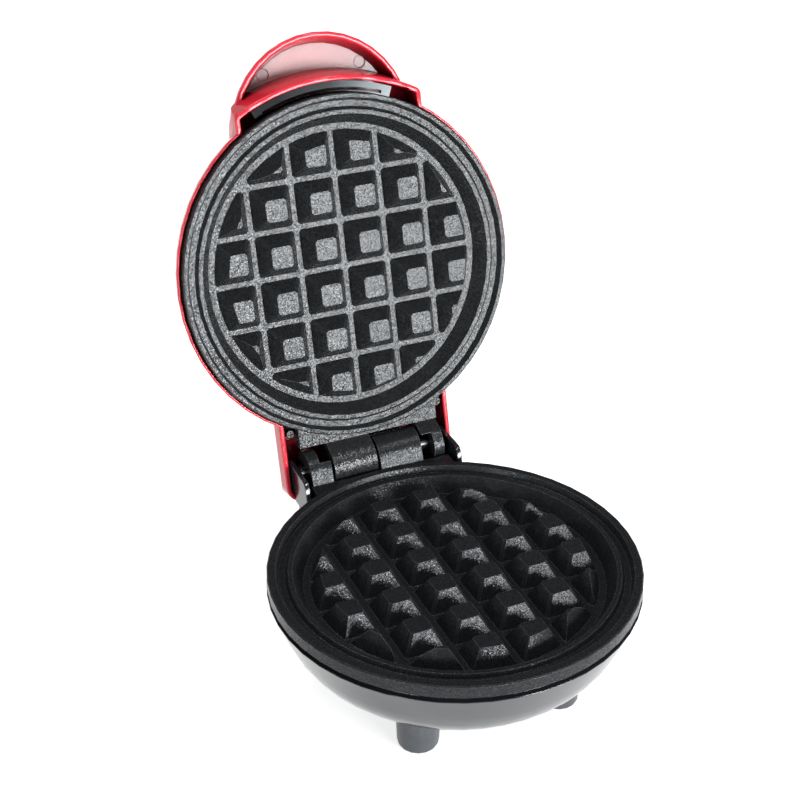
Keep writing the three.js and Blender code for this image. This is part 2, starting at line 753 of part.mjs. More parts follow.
function domeCurve() {
  const rise = lidHeight - lidRimRise;
  return new THREE.CubicBezierCurve(
    new THREE.Vector2(lidRimRadius, lidRimRise),
    new THREE.Vector2(lidRimRadius, lidRimRise + rise * domeShoulderRiseShare),
    new THREE.Vector2(lidRimRadius * domeCrownRadiusShare, lidHeight),
    new THREE.Vector2(0, lidHeight));
}

// A form under a profile curve, open downward when given a wall
function cap(curve, count, wall, facets, y) {
  const points = offsetPoints(curve, count, wall);
  points[count][0] = 0;
  if (wall > 0) points.unshift([0, lidRimRise - overrun], [points[0][0], lidRimRise - overrun]);
  else points.unshift([0, points[0][1]]);
  return turned(points, facets, 0, y);
}

function domeSteps(wall) {
  return wall > 0 ? 6 : 9;
}

function dome(wall) {
  return cap(domeCurve(), domeSteps(wall), wall, plateFacets, 0);
}

// The handle's outer form above a level, or a larger or thinner one for the skin around the front wall
function handleForm(rim, reach, wall) {
  const radius = handleRadius + reach;
  const curve = new THREE.CubicBezierCurve(
    new THREE.Vector2(radius, rim),
    new THREE.Vector2(radius, handleShoulderRise),
    new THREE.Vector2(radius * handleBrowRadiusShare, handleCrown),
    new THREE.Vector2(0, handleCrown));
  return cap(curve, 7, wall, handleFacets, handleCentreY);
}

// The handle's hollow as far as its side wall, which drafts in towards the roof
function handleHollow() {
  const mouth = handleRadius - lidWall;
  return turned([
    [0, lidRimRise - overrun],
    [mouth, lidRimRise - overrun],
    [mouth, handleRimRise],
    [mouth - handleHollowDraft, handleRoof],
    [0, handleRoof],
  ], handleFacets, 0, handleCentreY);
}

// Everything inside the front wall's outer face, or inside its inner face when given a wall. The wall is a
// shallow arc with a round corner at each end, and leans out on its way to the handle's roof.
function insideFrontWall(wall) {
  const half = frontWallHalfWidth - wall;
  const curve = frontWallCurve - wall;
  const corner = frontWallCorner - wall;
  const curveY = frontWallY + frontWallCurve;
  const cornerY = curveY - Math.sqrt((curve - corner) ** 2 - (half - corner) ** 2);
  const turn = Math.atan2(cornerY - curveY, half - corner);
  const plan = new THREE.Shape();
  plan.moveTo(-half, frontWallRootY);
  plan.lineTo(half, frontWallRootY);
  plan.absarc(half - corner, cornerY, corner, 0, turn, true);
  plan.absarc(0, curveY, curve, turn, -Math.PI - turn, true);
  plan.absarc(-half + corner, cornerY, corner, -Math.PI - turn, -Math.PI, true);
  const lean = frontWallDraft / (handleRoof - lidRimRise);
  const top = handleRoof + (wall > 0 ? 0 : lidWall);
  const geometry = new THREE.ExtrudeGeometry(plan, {
    depth: top - lidRimRise + overrun, bevelEnabled: false, curveSegments: arcFacets,
  }).translate(0, 0, lidRimRise - overrun);
  const shear = new THREE.Matrix4().makeShear(0, 0, 0, 0, 0, -lean);
  return solid(geometry.translate(0, 0, -lidRimRise).applyMatrix4(shear).translate(0, 0, lidRimRise))
    .intersect(handleForm(lidRimRise, handleRootReach, wall));
}

// The hood over the hinge, or its hollow when given a wall: plan, side and front outlines in common
function hood(wall) {
  const half = hoodHalfWidth - wall;
  const front = hingeSetback - hoodFront;
  const back = hingeSetback + hoodBack - wall;
  const top = hoodTop - wall;
  const rim = wall > 0 ? lidRimRise - overrun : lidRimRise;
  const corner = hoodCorner - wall;
  const edge = hoodEdge - wall;
  const plan = new THREE.Shape();
  plan.moveTo(-half, front);
  plan.lineTo(half, front);
  plan.absarc(half - corner, back - corner, corner, 0, Math.PI / 2);
  plan.absarc(-half + corner, back - corner, corner, Math.PI / 2, Math.PI);
  const side = new THREE.Shape();
  side.moveTo(front, rim);
  side.lineTo(back, rim);
  side.absarc(back - edge, top - edge, edge, 0, Math.PI / 2);
  side.lineTo(front, top);
  const across = new THREE.Shape();
  across.moveTo(-half, rim);
  across.lineTo(half, rim);
  across.absarc(half - edge, top - edge, edge, 0, Math.PI / 2);
  across.absarc(-half + edge, top - edge, edge, Math.PI / 2, Math.PI);
  return raised(plan, rim, top, arcFacets / 2)
    .intersect(runAlongX(side, -half, half, arcFacets / 2))
    .intersect(runAlongY(across, front, back, arcFacets / 2));
}

// Height of the dome's outer or inner face at a radius
function domeLevel(radius, wall) {
  const points = offsetPoints(domeCurve(), domeSteps(wall), wall);
  const next = points.findIndex(([at]) => at <= radius);
  const [outer, inner] = [points[next - 1], points[next]];
  return THREE.MathUtils.mapLinear(radius, outer[0], inner[0], outer[1], inner[1]);
}

function lidShell() {
  const hollow = handleHollow();
  const aboveRim = cylinder(2 * lidRimRadius, lidRimRise, lidHeight, smallFacets);
  const plateRoom = cylinder(upperRimRadius + seatGap, lidRimRise - overrun,
    upperRimPlane + skirtHeight + seatGap, plateFacets);
  let body = dome(0).add(handleForm(handleRimRise, 0, 0)).add(hood(0))
    .add(insideFrontWall(0).intersect(aboveRim))
    .subtract(dome(lidWall))
    .subtract(plateRoom)
    .subtract(hood(lidWall))
    .subtract(insideFrontWall(lidWall))
    .subtract(hollow.subtract(insideFrontWall(0)));
  for (const side of [-1, 1]) {
    body = body.subtract(cylinder(handlePinMarkRadius, handleRoof - overrun, handleRoof + handlePinMarkDepth,
      footFacets, side * handlePinMarkX, handlePinMarkY));
    const x = side * lidScrewX;
    const bossEnd = upperRimPlane + brimLevel + shieldThickness + seatGap;
    const bossTop = hoodTop - lidWall / 2;
    const boss = cylinder(lidBossRadius, bossEnd, bossTop, smallFacets, x, lidScrewY).intersect(hood(0));
    body = body.add(boss).subtract(cylinder(lidScrewRadius + seatGap, bossEnd - overrun,
      bossEnd + lidScrewGrip, smallFacets, x, lidScrewY));
  }
  return body.subtract(cylinder(lensRadius + seatGap, handleRoof, lidHeight + overrun, footFacets, 0, lensY));
}

const lensTop = domeLevel(-lensY, 0) + lensProud;
const lensFlangeTop = domeLevel(-lensY + lensRadius + lensFlange, lidWall) - seatGap;

// A flanged cap pushed through the dome from inside, hollow underneath for the lamp
function indicatorLens() {
  return turned([
    [0, lensTop - lensWall],
    [lensRadius - lensWall, lensTop - lensWall],
    [lensRadius - lensWall, lensFlangeTop - lensFlangeThickness],
    [lensRadius + lensFlange, lensFlangeTop - lensFlangeThickness],
    [lensRadius + lensFlange, lensFlangeTop],
    [lensRadius, lensFlangeTop],
    [lensRadius, lensTop - lensEdge],
    [lensRadius - lensEdge, lensTop],
    [0, lensTop],
  ], footFacets, 0, lensY);
}

function indicatorLamp() {
  const tip = lensTop - lensWall - seatGap;
  const nose = lampRadius / 2;
  return turned([
    [0, tip - lampLength],
    [lampRadius, tip - lampLength],
    [lampRadius, tip - nose],
    [lampRadius - nose, tip],
    [0, tip],
  ], smallFacets, 0, lensY);
}

// Hinge pin, with chamfered ends between the base's two ears
function hingePin() {
  const half = housingHalfWidth - earThickness - seatGap;
  const edge = pinRadius / 4;
  return solid(turnedGeometry([
    [0, -half], [pinRadius - edge, -half], [pinRadius, -half + edge],
    [pinRadius, half - edge], [pinRadius - edge, half], [0, half],
  ], footFacets).rotateZ(Math.PI / 2));
}

// Controls in the base

function thermostat() {
  const top = -castingBack - seatGap;
  const edge = bladeThickness;
  const bottom = top - thermostatHeight;
  let body = turned([
    [0, bottom], [thermostatRadius - edge, bottom], [thermostatRadius, bottom + edge],
    [thermostatRadius, top], [0, top],
  ], footFacets, 0, thermostatY);
  for (const side of [-1, 1]) {
    const x = side * bladeSpacing / 2;
    body = body.add(block(x - bladeThickness / 2, x + bladeThickness / 2,
      thermostatY - bladeWidth / 2, thermostatY + bladeWidth / 2, bottom - bladeLength, bottom + bladeThickness));
  }
  return body;
}

// A fuse in its sleeve, lying across the back of the lower plate, with a lead at each end
function thermalFuse() {
  const half = fuseLength / 2;
  const edge = fuseEndRadius / 2;
  return solid(turnedGeometry([
    [0, -half - fuseLeadLength], [fuseEndRadius, -half - fuseLeadLength], [fuseEndRadius, -half],
    [fuseRadius - edge, -half], [fuseRadius, -half + edge], [fuseRadius, half - edge], [fuseRadius - edge, half],
    [fuseEndRadius, half], [fuseEndRadius, half + fuseLeadLength], [0, half + fuseLeadLength],
  ], smallFacets).rotateZ(Math.PI / 2));
}

// Two-way terminal block on the housing's floor
function terminalBlock() {
  let body = block(-terminalWidth / 2, terminalWidth / 2, -terminalDepth / 2, terminalDepth / 2,
    0, terminalHeight);
  for (const x of [-terminalWidth / 4, terminalWidth / 4]) {
    for (const y of [-terminalDepth / 4, terminalDepth / 4]) {
      body = body.subtract(cylinder(terminalScrewRadius, terminalHeight - terminalScrewDepth,
        terminalHeight + overrun, smallFacets, x, y));
    }
  }
  return body;
}

// A bushing through the rear wall: a flange outside and a sleeve inside, measured along Y from the wall's face
function cordGland() {
  const edge = glandFlangeThickness / 3;
  const flangeBack = seatGap + glandFlangeThickness;
  return solid(turnedGeometry([
    [glandBoreRadius, -baseWall - glandInside],
    [glandBodyRadius, -baseWall - glandInside],
    [glandBodyRadius, seatGap],
    [glandFlangeRadius, seatGap],
    [glandFlangeRadius, flangeBack - edge],
    [glandFlangeRadius - edge, flangeBack],
    [glandBoreRadius, flangeBack],
  ], smallFacets));
}

// Finishes

const finishes = {
  red: { color: 0xc8102a, roughness: 0.12, metalness: 0 },
  black: { color: 0x17181b, roughness: 0.1, metalness: 0 },
  foot: { color: 0x232427, roughness: 0.3, metalness: 0 },
  nonstick: { color: 0x26282b, roughness: 0.62, metalness: 0.2 },
  steel: { color: 0xb9bdc1, roughness: 0.3, metalness: 1 },
  aluminium: { color: 0xc5cacc, roughness: 0.28, metalness: 1 },
  element: { color: 0x6d6a66, roughness: 0.5, metalness: 1 },
  lens: { color: 0xe8402c, roughness: 0.08, metalness: 0 },
  lamp: { color: 0xe9e2d4, roughness: 0.2, metalness: 0 },
  bakelite: { color: 0x2b2522, roughness: 0.5, metalness: 0 },
  sleeve: { color: 0xe6e3da, roughness: 0.75, metalness: 0 },
  rubber: { color: 0x1b1b1c, roughness: 0.7, metalness: 0 },
};

function piece(name, body, finish, x = 0, y = 0, z = 0) {
  const mesh = new THREE.Mesh(geometryOf(body), new THREE.MeshStandardMaterial(finishes[finish]));
  mesh.name = name;
  mesh.position.set(x, y, z);
  return mesh;
}

// Everything behind one cooking plate, in the plate's own frame
function heaterSet(prefix, plate, shield) {
  const set = new THREE.Group();
  set.add(
    piece(`${prefix}_plate`, plate, 'nonstick'),
    piece(`${prefix}_heating_element`, heatingElement(), 'element'),
    piece(`${prefix}_element_clamp`, elementClamp(), 'steel'),
    piece(`${prefix}_heat_shield`, shield, 'aluminium'),
    piece(`${prefix}_heater_screw`, heaterScrew(), 'steel', 0, 0, -shieldBack - seatGap));
  return set;
}

// Base, with the hinge axis at height zero
const base = new THREE.Group();
base.position.z = hingeHeight;
base.add(
  piece('base_shell', baseShell(), 'black'),
  piece('hinge_pin', hingePin(), 'steel', 0, hingeSetback, 0),
  piece('terminal_block', terminalBlock(), 'bakelite', 0, terminalY, -housingFloorDrop + seatGap),
  piece('cord_gland', cordGland(), 'rubber', 0, hingeSetback - housingBack, -glandDrop));
for (const [name, x, y, level] of footPlaces()) base.add(piece(name, foot(x, y, level), 'foot'));
baseScrewPlaces().forEach(([x, y], i) => {
  const length = postWebHeight + baseScrewGrip + seatGap;
  base.add(piece(`base_screw_${i + 1}`, screw(baseScrewRadius, length), 'steel', x, y,
    postTop - postWebHeight - seatGap));
});

const lowerSet = heaterSet('lower', lowerPlate(), lowerHeatShield());
lowerSet.position.z = lowerRimPlane;
lowerSet.add(
  piece('thermostat', thermostat(), 'bakelite'),
  piece('thermal_fuse', thermalFuse(), 'sleeve', 0, fuseY, -castingBack - seatGap - fuseRadius));
base.add(lowerSet);

// Lid, drawn closed round the hinge axis and then swung up to its stop
const lid = new THREE.Group();
lid.position.set(0, hingeSetback, hingeHeight);
lid.rotation.x = -THREE.MathUtils.degToRad(openAngle);
const closedLid = new THREE.Group();
closedLid.position.y = -hingeSetback;
lid.add(closedLid);
closedLid.add(
  piece('lid_shell', lidShell(), 'red'),
  piece('indicator_lens', indicatorLens(), 'lens'),
  piece('indicator_lamp', indicatorLamp(), 'lamp'));
for (const [name, side] of [['lid_screw_left', -1], ['lid_screw_right', 1]]) {
  closedLid.add(piece(name, screw(lidScrewRadius, shieldThickness + seatGap + lidScrewGrip), 'steel',
    side * lidScrewX, lidScrewY, upperRimPlane + brimLevel - seatGap));
}

const upperSet = heaterSet('upper',
  plateCasting(upperRimRadius, upperBackChamfer, upperRimPlane), upperHeatShield());
upperSet.position.z = upperRimPlane;
upperSet.rotation.y = Math.PI;
closedLid.add(upperSet);

// The whole maker, with the middle of its footprint at the origin and its feet on the ground
const maker = new THREE.Group();
maker.add(base, lid);
const footprint = new THREE.Box3().setFromObject(maker, true).getCenter(new THREE.Vector3());
maker.position.y = -footprint.y;
maker.updateMatrixWorld(true);

export default maker;
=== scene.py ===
import json
import math

import bmesh
import bpy
from mathutils import Matrix, Vector

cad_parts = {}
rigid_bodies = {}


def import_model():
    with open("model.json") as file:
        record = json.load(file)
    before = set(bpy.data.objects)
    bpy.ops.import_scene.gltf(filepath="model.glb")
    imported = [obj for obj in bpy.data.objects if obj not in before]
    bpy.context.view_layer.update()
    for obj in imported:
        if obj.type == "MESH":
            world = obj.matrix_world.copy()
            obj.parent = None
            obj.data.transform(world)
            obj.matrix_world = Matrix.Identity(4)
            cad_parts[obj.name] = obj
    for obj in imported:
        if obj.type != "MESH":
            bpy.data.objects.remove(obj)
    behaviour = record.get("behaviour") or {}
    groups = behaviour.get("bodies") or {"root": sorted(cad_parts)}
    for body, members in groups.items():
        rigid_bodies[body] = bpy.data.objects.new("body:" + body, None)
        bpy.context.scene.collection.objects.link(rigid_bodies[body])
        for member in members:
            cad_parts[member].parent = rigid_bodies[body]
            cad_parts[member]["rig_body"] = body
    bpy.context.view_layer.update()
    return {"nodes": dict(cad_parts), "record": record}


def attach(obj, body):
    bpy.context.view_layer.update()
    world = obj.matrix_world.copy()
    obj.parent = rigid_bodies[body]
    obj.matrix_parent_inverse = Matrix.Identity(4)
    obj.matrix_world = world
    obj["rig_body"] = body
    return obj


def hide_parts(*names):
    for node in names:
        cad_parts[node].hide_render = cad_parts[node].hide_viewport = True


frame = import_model()
nodes = frame["nodes"]
slots = {s["node"]: s["material_slot"] for s in frame["record"]["subparts"]}
scene = bpy.context.scene
scene.view_settings.view_transform = "Standard"
MM = 0.001

# The camera, at the photograph's angle
CAMERA_PLACE = Vector((-0.17927, -0.394055, 0.34216))
CAMERA_RIGHT = Vector((0.914474, -0.404636, -0.00253))
CAMERA_UP = Vector((0.206852, 0.462092, 0.862371))
CAMERA_SENSOR = 36
CAMERA_FOCAL_PX = 1559.85
IMAGE_PX = 800

# The lid's own upward direction, open as it stands here
HINGE = Vector(frame["record"]["behaviour"]["joints"][0]["pos_m"])
LID_OPEN = math.radians(104)
LID_UP = (0, math.sin(LID_OPEN), math.cos(LID_OPEN))

# Levels of the lid shell above the hinge, along that direction: the handle's ceiling and the two rims
HANDLE_CEILING = 16 * MM
CEILING_SLACK = 0.45 * MM
LID_RIMS = (1.85 * MM, 10.4 * MM)
RIM_SLACK = 0.03 * MM
RIM_ROUNDING = 0.55 * MM
RIM_SEGMENTS = 3

# Surfaces that reach further than this against the lid's upward direction look down
LOOKS_DOWN = -0.8

# Vertices closer than the first are one, and edges shorter than the second are dropped
WELD = 1e-7
SHORTEST_EDGE = 1e-6

# Faces that meet at less than the first angle are smooth, edges sharper than the second are rounded
SMOOTH_BELOW = math.radians(32)
ROUND_ABOVE = math.radians(40)
SHADER_SAMPLES = 6

# The studio: the direction's height over which its walls end, and how bright its surfaces are
WALLS_END = (0.12, 0.5)
WALL_GLOW = 0.8
CEILING_GLOW = 0.04
SOFT_GLOW = 0.3
FLOOR_GLOW = 0.7
FLOOR_HALF_SIZE = 3


# Materials
class Paint:
    """A material under construction: a Principled shader with helpers for its textures."""

    def __init__(self, name, colour, roughness, metallic=0.0):
        self.material = bpy.data.materials.new(name)
        self.material.use_nodes = True
        self.tree = self.material.node_tree
        self.shader = self.tree.nodes["Principled BSDF"]
        self.shader.inputs["Base Color"].default_value = (*colour, 1)
        self.shader.inputs["Roughness"].default_value = roughness
        self.shader.inputs["Metallic"].default_value = metallic
        self.place = self.node("ShaderNodeTexCoord").outputs["Object"]

    def node(self, kind, **settings):
        made = self.tree.nodes.new(kind)
        for name, value in settings.items():
            setattr(made, name, value)
        return made

    def link(self, source, target):
        self.tree.links.new(source, target)

    def feed(self, value, socket):
        """Gives a socket another node's output or a plain value."""
        if hasattr(value, "links"):
            self.link(value, socket)
        else:
            socket.default_value = value

    def number(self, operation, *values):
        made = self.node("ShaderNodeMath", operation=operation)
        for value, socket in zip(values, made.inputs):
            self.feed(value, socket)
        return made.outputs["Value"]

    def vector(self, operation, *values, output="Vector"):
        made = self.node("ShaderNodeVectorMath", operation=operation)
        for value, socket in zip(values, made.inputs):
            self.feed(value, socket)
        return made.outputs[output]

    def along(self, reach, direction):
        """How far a vector reaches along a direction."""
        return self.vector("DOT_PRODUCT", reach, direction, output="Value")

    def texture(self, kind, size, stretch=(1, 1, 1)):
        """A texture whose unit is size metres."""
        mapping = self.node("ShaderNodeMapping")
        mapping.inputs["Scale"].default_value = [s / size for s in stretch]
        self.link(self.place, mapping.inputs["Vector"])
        made = self.node(kind)
        made.inputs["Scale"].default_value = 1
        self.link(mapping.outputs["Vector"], made.inputs["Vector"])
        return made

    def noise(self, size, detail=2.0, rough=0.5, stretch=(1, 1, 1)):
        """Noise whose spots are about size metres wide."""
        made = self.texture("ShaderNodeTexNoise", size, stretch)
        made.inputs["Detail"].default_value = detail
        made.inputs["Roughness"].default_value = rough
        return made.outputs["Fac"]

    def cells(self, size):
        """Cells about size metres wide, each with a colour of its own."""
        return self.texture("ShaderNodeTexVoronoi", size).outputs["Color"]

    def ramp(self, value, *stops):
        """Maps a value through (position, colour or grey) stops."""
        ramp = self.node("ShaderNodeValToRGB")
        elements = ramp.color_ramp.elements
        while len(elements) < len(stops):
            elements.new(0.5)
        for element, (position, colour) in zip(elements, stops):
            element.position = position
            if isinstance(colour, (int, float)):
                colour = (colour,) * 3
            element.color = (*colour, 1)
        self.link(value, ramp.inputs["Fac"])
        return ramp.outputs["Color"]

    def spread(self, value, low, high, start=0.0, end=1.0):
        """Maps the range from start to end onto the one from low to high."""
        made = self.node("ShaderNodeMapRange")
        made.inputs["From Min"].default_value = start
        made.inputs["From Max"].default_value = end
        made.inputs["To Min"].default_value = low
        made.inputs["To Max"].default_value = high
        self.link(value, made.inputs["Value"])
        return made.outputs["Result"]

    def mix(self, factor, first, second, blend="MIX"):
        """Mixes two colours, each another node's output or a plain colour."""
        made = self.node("ShaderNodeMix", data_type="RGBA", blend_type=blend)
        self.feed(factor, made.inputs[0])
        for colour, socket in ((first, made.inputs[6]), (second, made.inputs[7])):
            self.feed(colour if hasattr(colour, "links") else (*colour, 1), socket)
        return made.outputs[2]

    def colour(self, output):
        self.link(output, self.shader.inputs["Base Color"])

    def rough(self, output, low, high):
        self.link(self.spread(output, low, high), self.shader.inputs["Roughness"])

    def rounded(self, radius):
        """A normal that turns smoothly over edges, for bump to start from."""
        made = self.node("ShaderNodeBevel", samples=SHADER_SAMPLES)
        made.inputs["Radius"].default_value = radius
        return made.outputs["Normal"]

    def bump(self, *layers, start=None):
        """Each layer is (height output, depth in metres, strength)."""
        last = start
        for height, depth, strength in layers:
            made = self.node("ShaderNodeBump")
            made.inputs["Distance"].default_value = depth
            made.inputs["Strength"].default_value = strength
            self.link(height, made.inputs["Height"])
            if last is not None:
                self.link(last, made.inputs["Normal"])
            last = made.outputs["Normal"]
        self.link(last, self.shader.inputs["Normal"])

    def set(self, **values):
        for name, value in values.items():
            self.shader.inputs[name.replace("_", " ")].default_value = value


def glossy_moulding(name, colour, dark, roughness):
    """Glossy moulded plastic: a faint mottle, soft waves from the mould and fine dust."""
    p = Paint(name, colour, roughness)
    p.colour(p.ramp(p.noise(9 * MM, 3), (0.3, dark), (0.7, colour)))
    p.rough(p.noise(1.6 * MM, 4), roughness * 0.7, roughness * 1.5)
    p.set(Specular_IOR_Level=0.88)
    waves = (p.noise(7 * MM, 1), 0.06 * MM, 0.10)
    dust = (p.noise(0.5 * MM, 2), 0.01 * MM, 0.12)
    p.bump(waves, dust, start=p.rounded(0.7 * MM))
    return p.material


def red_moulding(name):
    """Glossy red, with the fine spark-eroded grain that the mould leaves on the handle's ceiling, a pale
    painted reflection on that ceiling and painted shade in the hollows.
    """
    roughness = 0.12
    p = Paint(name, (0.70, 0.022, 0.045), roughness)
    level = HINGE.dot(Vector(LID_UP)) + HANDLE_CEILING
    at_level = p.number("COMPARE", p.along(p.place, LID_UP), level, CEILING_SLACK)
    # only what looks down into the hollow, so that no line runs round the dome at the same height
    facing = p.along(p.node("ShaderNodeTexCoord").outputs["Normal"], LID_UP)
    ceiling = p.number("MULTIPLY", at_level, p.number("LESS_THAN", facing, LOOKS_DOWN))
    mottle = p.ramp(p.noise(9 * MM, 3), (0.3, (0.72, 0.022, 0.042)), (0.7, (0.80, 0.030, 0.055)))
    # painted shade: ambient occlusion darkens the red in the hollows, inside the hood, the cheeks and the
    # handle
    hollow_shade = p.node("ShaderNodeAmbientOcclusion", samples=SHADER_SAMPLES)
    hollow_shade.inputs["Distance"].default_value = 14 * MM
    shade = p.ramp(hollow_shade.outputs["AO"], (0.22, 0.05), (0.65, 1.0))
    # painted reflection: the handle's ceiling is painted a pale pink, and the whole red is multiplied by
    # the painted shade of the hollows
    p.colour(p.mix(1.0, p.mix(ceiling, mottle, (0.42, 0.14, 0.14)), shade, "MULTIPLY"))
    p.link(p.spread(ceiling, 0.4, 1.0), p.shader.inputs["Specular IOR Level"])
    p.link(p.number("MULTIPLY_ADD", ceiling, 0.16, roughness), p.shader.inputs["Roughness"])
    waves = (p.noise(7 * MM, 1), 0.06 * MM, 0.1)
    grain = (p.number("MULTIPLY", ceiling, p.noise(0.6 * MM, 4, 0.7)), 0.13 * MM, 1.0)
    p.bump(waves, grain, start=p.rounded(0.5 * MM))
    return p.material


def nonstick_coat(name, shine, tilt, metal_tone):
    """Sprayed non-stick coat over a cast surface: each fine metal flake in it has a tilt of its own."""
    p = Paint(name, (0.014, 0.015, 0.017), 0.25)
    flake = p.cells(0.33 * MM)
    chance = p.node("ShaderNodeSeparateColor")
    p.link(flake, chance.inputs["Color"])
    cloud = p.noise(1.1 * MM, 5, 0.65)
    ground = p.ramp(cloud, (0.3, (0.010, 0.011, 0.0125)), (0.72, (0.018, 0.019, 0.021)))
    metal = p.ramp(chance.outputs["Red"], (0.0, 0.0), (0.5, 0.0), (0.85, 0.45), (1.0, 0.7))
    # painted highlight: the colour is lighter where the rounded normal leans away from the face, along
    # the edges
    turned = p.rounded(0.25 * MM)
    lean = p.along(turned, p.node("ShaderNodeNewGeometry").outputs["Normal"])
    painted_glint = p.ramp(lean, (0.82, 1.0), (0.975, 0.0))
    p.colour(p.mix(painted_glint, p.mix(metal, ground, metal_tone), (0.17, 0.174, 0.18)))
    p.link(metal, p.shader.inputs["Metallic"])
    p.set(Specular_IOR_Level=shine)
    p.rough(chance.outputs["Green"], 0.20, 0.34)
    # each flake turns the rounded normal a little its own way
    own_way = p.vector("SUBTRACT", flake, (0.5, 0.5, 0.5))
    tilted = p.vector("NORMALIZE", p.vector("MULTIPLY_ADD", own_way, (tilt, tilt, tilt), turned))
    p.bump((p.noise(0.9 * MM, 3, 0.6), 0.05 * MM, 0.4), start=tilted)
    return p.material


def bare_metal(name, colour, roughness, stain=None):
    """Metal with a fine grain, or with clouds of a stain."""
    p = Paint(name, colour, roughness, 1.0)
    grain = 0.4 * MM
    if stain:
        cloud = p.ramp(p.noise(8 * MM, 3), (0.42, 0), (0.62, 1))
        p.colour(p.mix(cloud, colour, stain))
    else:
        p.colour(p.ramp(p.noise(grain, 4, 0.6), (0.3, [c * 0.72 for c in colour]), (0.7, colour)))
    p.rough(p.noise(grain, 3), roughness * 0.75, roughness * 1.3)
    p.bump((p.noise(grain, 4), 0.02 * MM, 0.35))
    return p.material


def matt_moulding(name, colour, roughness):
    """Matt plastic or rubber with a fine grain."""
    p = Paint(name, colour, roughness)
    grain = 0.45 * MM
    p.colour(p.ramp(p.noise(3 * MM, 4), (0.3, [c * 0.75 for c in colour]), (0.7, colour)))
    p.rough(p.noise(grain, 3), roughness * 0.85, roughness * 1.15)
    p.bump((p.noise(grain, 4, 0.6), 0.05 * MM, 0.4))
    return p.material


def sheet_with_painted_light(name):
    """Shield sheet, painted dark as painted shade, more so towards the left, and lighter towards the
    right as a painted reflection.
    """
    p = Paint(name, (0.03, 0.032, 0.035), 0.16, 1.0)
    split = p.node("ShaderNodeSeparateXYZ")
    p.link(p.place, split.inputs[0])
    across = p.spread(split.outputs["X"], 0.0, 1.0, -18 * MM, 26 * MM)
    # painted light: near black at the left as painted shade, a lighter grey at the right as a painted
    # reflection
    left, middle, right = (0.003, 0.0031, 0.0033), (0.008, 0.0085, 0.009), (0.042, 0.046, 0.048)
    painted_light = p.ramp(across, (0.0, left), (0.45, middle), (1.0, right))
    cloud = p.ramp(p.noise(6 * MM, 4, 0.6, (0.3, 1, 1)), (0.3, 0.75), (0.7, 1.0))
    p.colour(p.mix(1.0, painted_light, cloud, "MULTIPLY"))
    p.rough(p.noise(0.6 * MM, 3, 0.5, (0.1, 1, 1)), 0.12, 0.2)
    p.bump((p.noise(0.5 * MM, 4, 0.5, (0.08, 1, 1)), 0.02 * MM, 0.3))
    return p.material


def lens_plastic(name):
    """Clear red plastic, a little uneven."""
    p = Paint(name, (0.75, 0.05, 0.03), 0.08)
    p.colour(p.ramp(p.noise(1.2 * MM, 2), (0.3, (0.62, 0.03, 0.02)), (0.7, (0.85, 0.09, 0.05))))
    p.rough(p.noise(0.8 * MM, 2), 0.05, 0.14)
    p.set(Transmission_Weight=0.55, IOR=1.49)
    p.bump((p.noise(0.9 * MM, 2), 0.02 * MM, 0.2))
    return p.material


def lamp_glass(name):
    """Glass with a warm tone."""
    p = Paint(name, (0.95, 0.9, 0.85), 0.05)
    p.colour(p.ramp(p.noise(2 * MM, 2), (0.3, (0.92, 0.85, 0.78)), (0.7, (0.98, 0.95, 0.92))))
    p.rough(p.noise(1 * MM, 2), 0.03, 0.1)
    p.set(Transmission_Weight=0.9, IOR=1.47)
    return p.material


def woven_sleeve(name, colour):
    """Sleeve with slanting bands of weave."""
    p = Paint(name, colour, 0.75)
    wave = p.node("ShaderNodeTexWave", wave_type="BANDS", bands_direction="DIAGONAL")
    wave.inputs["Scale"].default_value = 900
    wave.inputs["Distortion"].default_value = 1.5
    p.link(p.place, wave.inputs["Vector"])
    p.colour(p.ramp(wave.outputs["Fac"], (0.2, [c * 0.7 for c in colour]), (0.7, colour)))
    p.bump((wave.outputs["Fac"], 0.12 * MM, 0.6))
    return p.material


SLOT_PAINT = {
    "red_casing": red_moulding("red_gloss"),
    "black_casing": glossy_moulding("black_gloss", (0.023, 0.025, 0.029), (0.017, 0.0185, 0.022), 0.12),
    "foot_plastic": matt_moulding("foot_black", (0.070, 0.075, 0.083), 0.38),
    "nonstick_casting": nonstick_coat("nonstick", 0.38, 0.3, (0.10, 0.103, 0.106)),
    "steel": bare_metal("steel", (0.17, 0.17, 0.168), 0.36),
    "element_sheath": bare_metal("element_sheath", (0.30, 0.28, 0.27), 0.4, (0.20, 0.15, 0.12)),
    "shield_sheet": sheet_with_painted_light("shield_sheet"),
    "red_lens": lens_plastic("red_lens"),
    "lamp_glass": lamp_glass("lamp_glass"),
    "bakelite": matt_moulding("bakelite", (0.055, 0.04, 0.033), 0.45),
    "fuse_sleeve": woven_sleeve("fuse_sleeve", (0.80, 0.77, 0.70)),
    "gland_rubber": matt_moulding("gland_rubber", (0.022, 0.022, 0.023), 0.7),
}

# Nodes painted darker than the rest of their slot, as painted shade
# painted shade: the lid screws sit in the hood's shadow, so their steel is painted near black
SCREW_SHADE = bare_metal("screw_steel_shaded", (0.05, 0.047, 0.045), 0.32)
OWN_PAINT = {
    # painted shade: the lower plate's coat has darker flakes than the upper plate's
    "lower_plate": nonstick_coat("nonstick_lower_shaded", 0.16, 0.18, (0.07, 0.072, 0.075)),
    "lid_screw_left": SCREW_SHADE,
    "lid_screw_right": SCREW_SHADE,
}


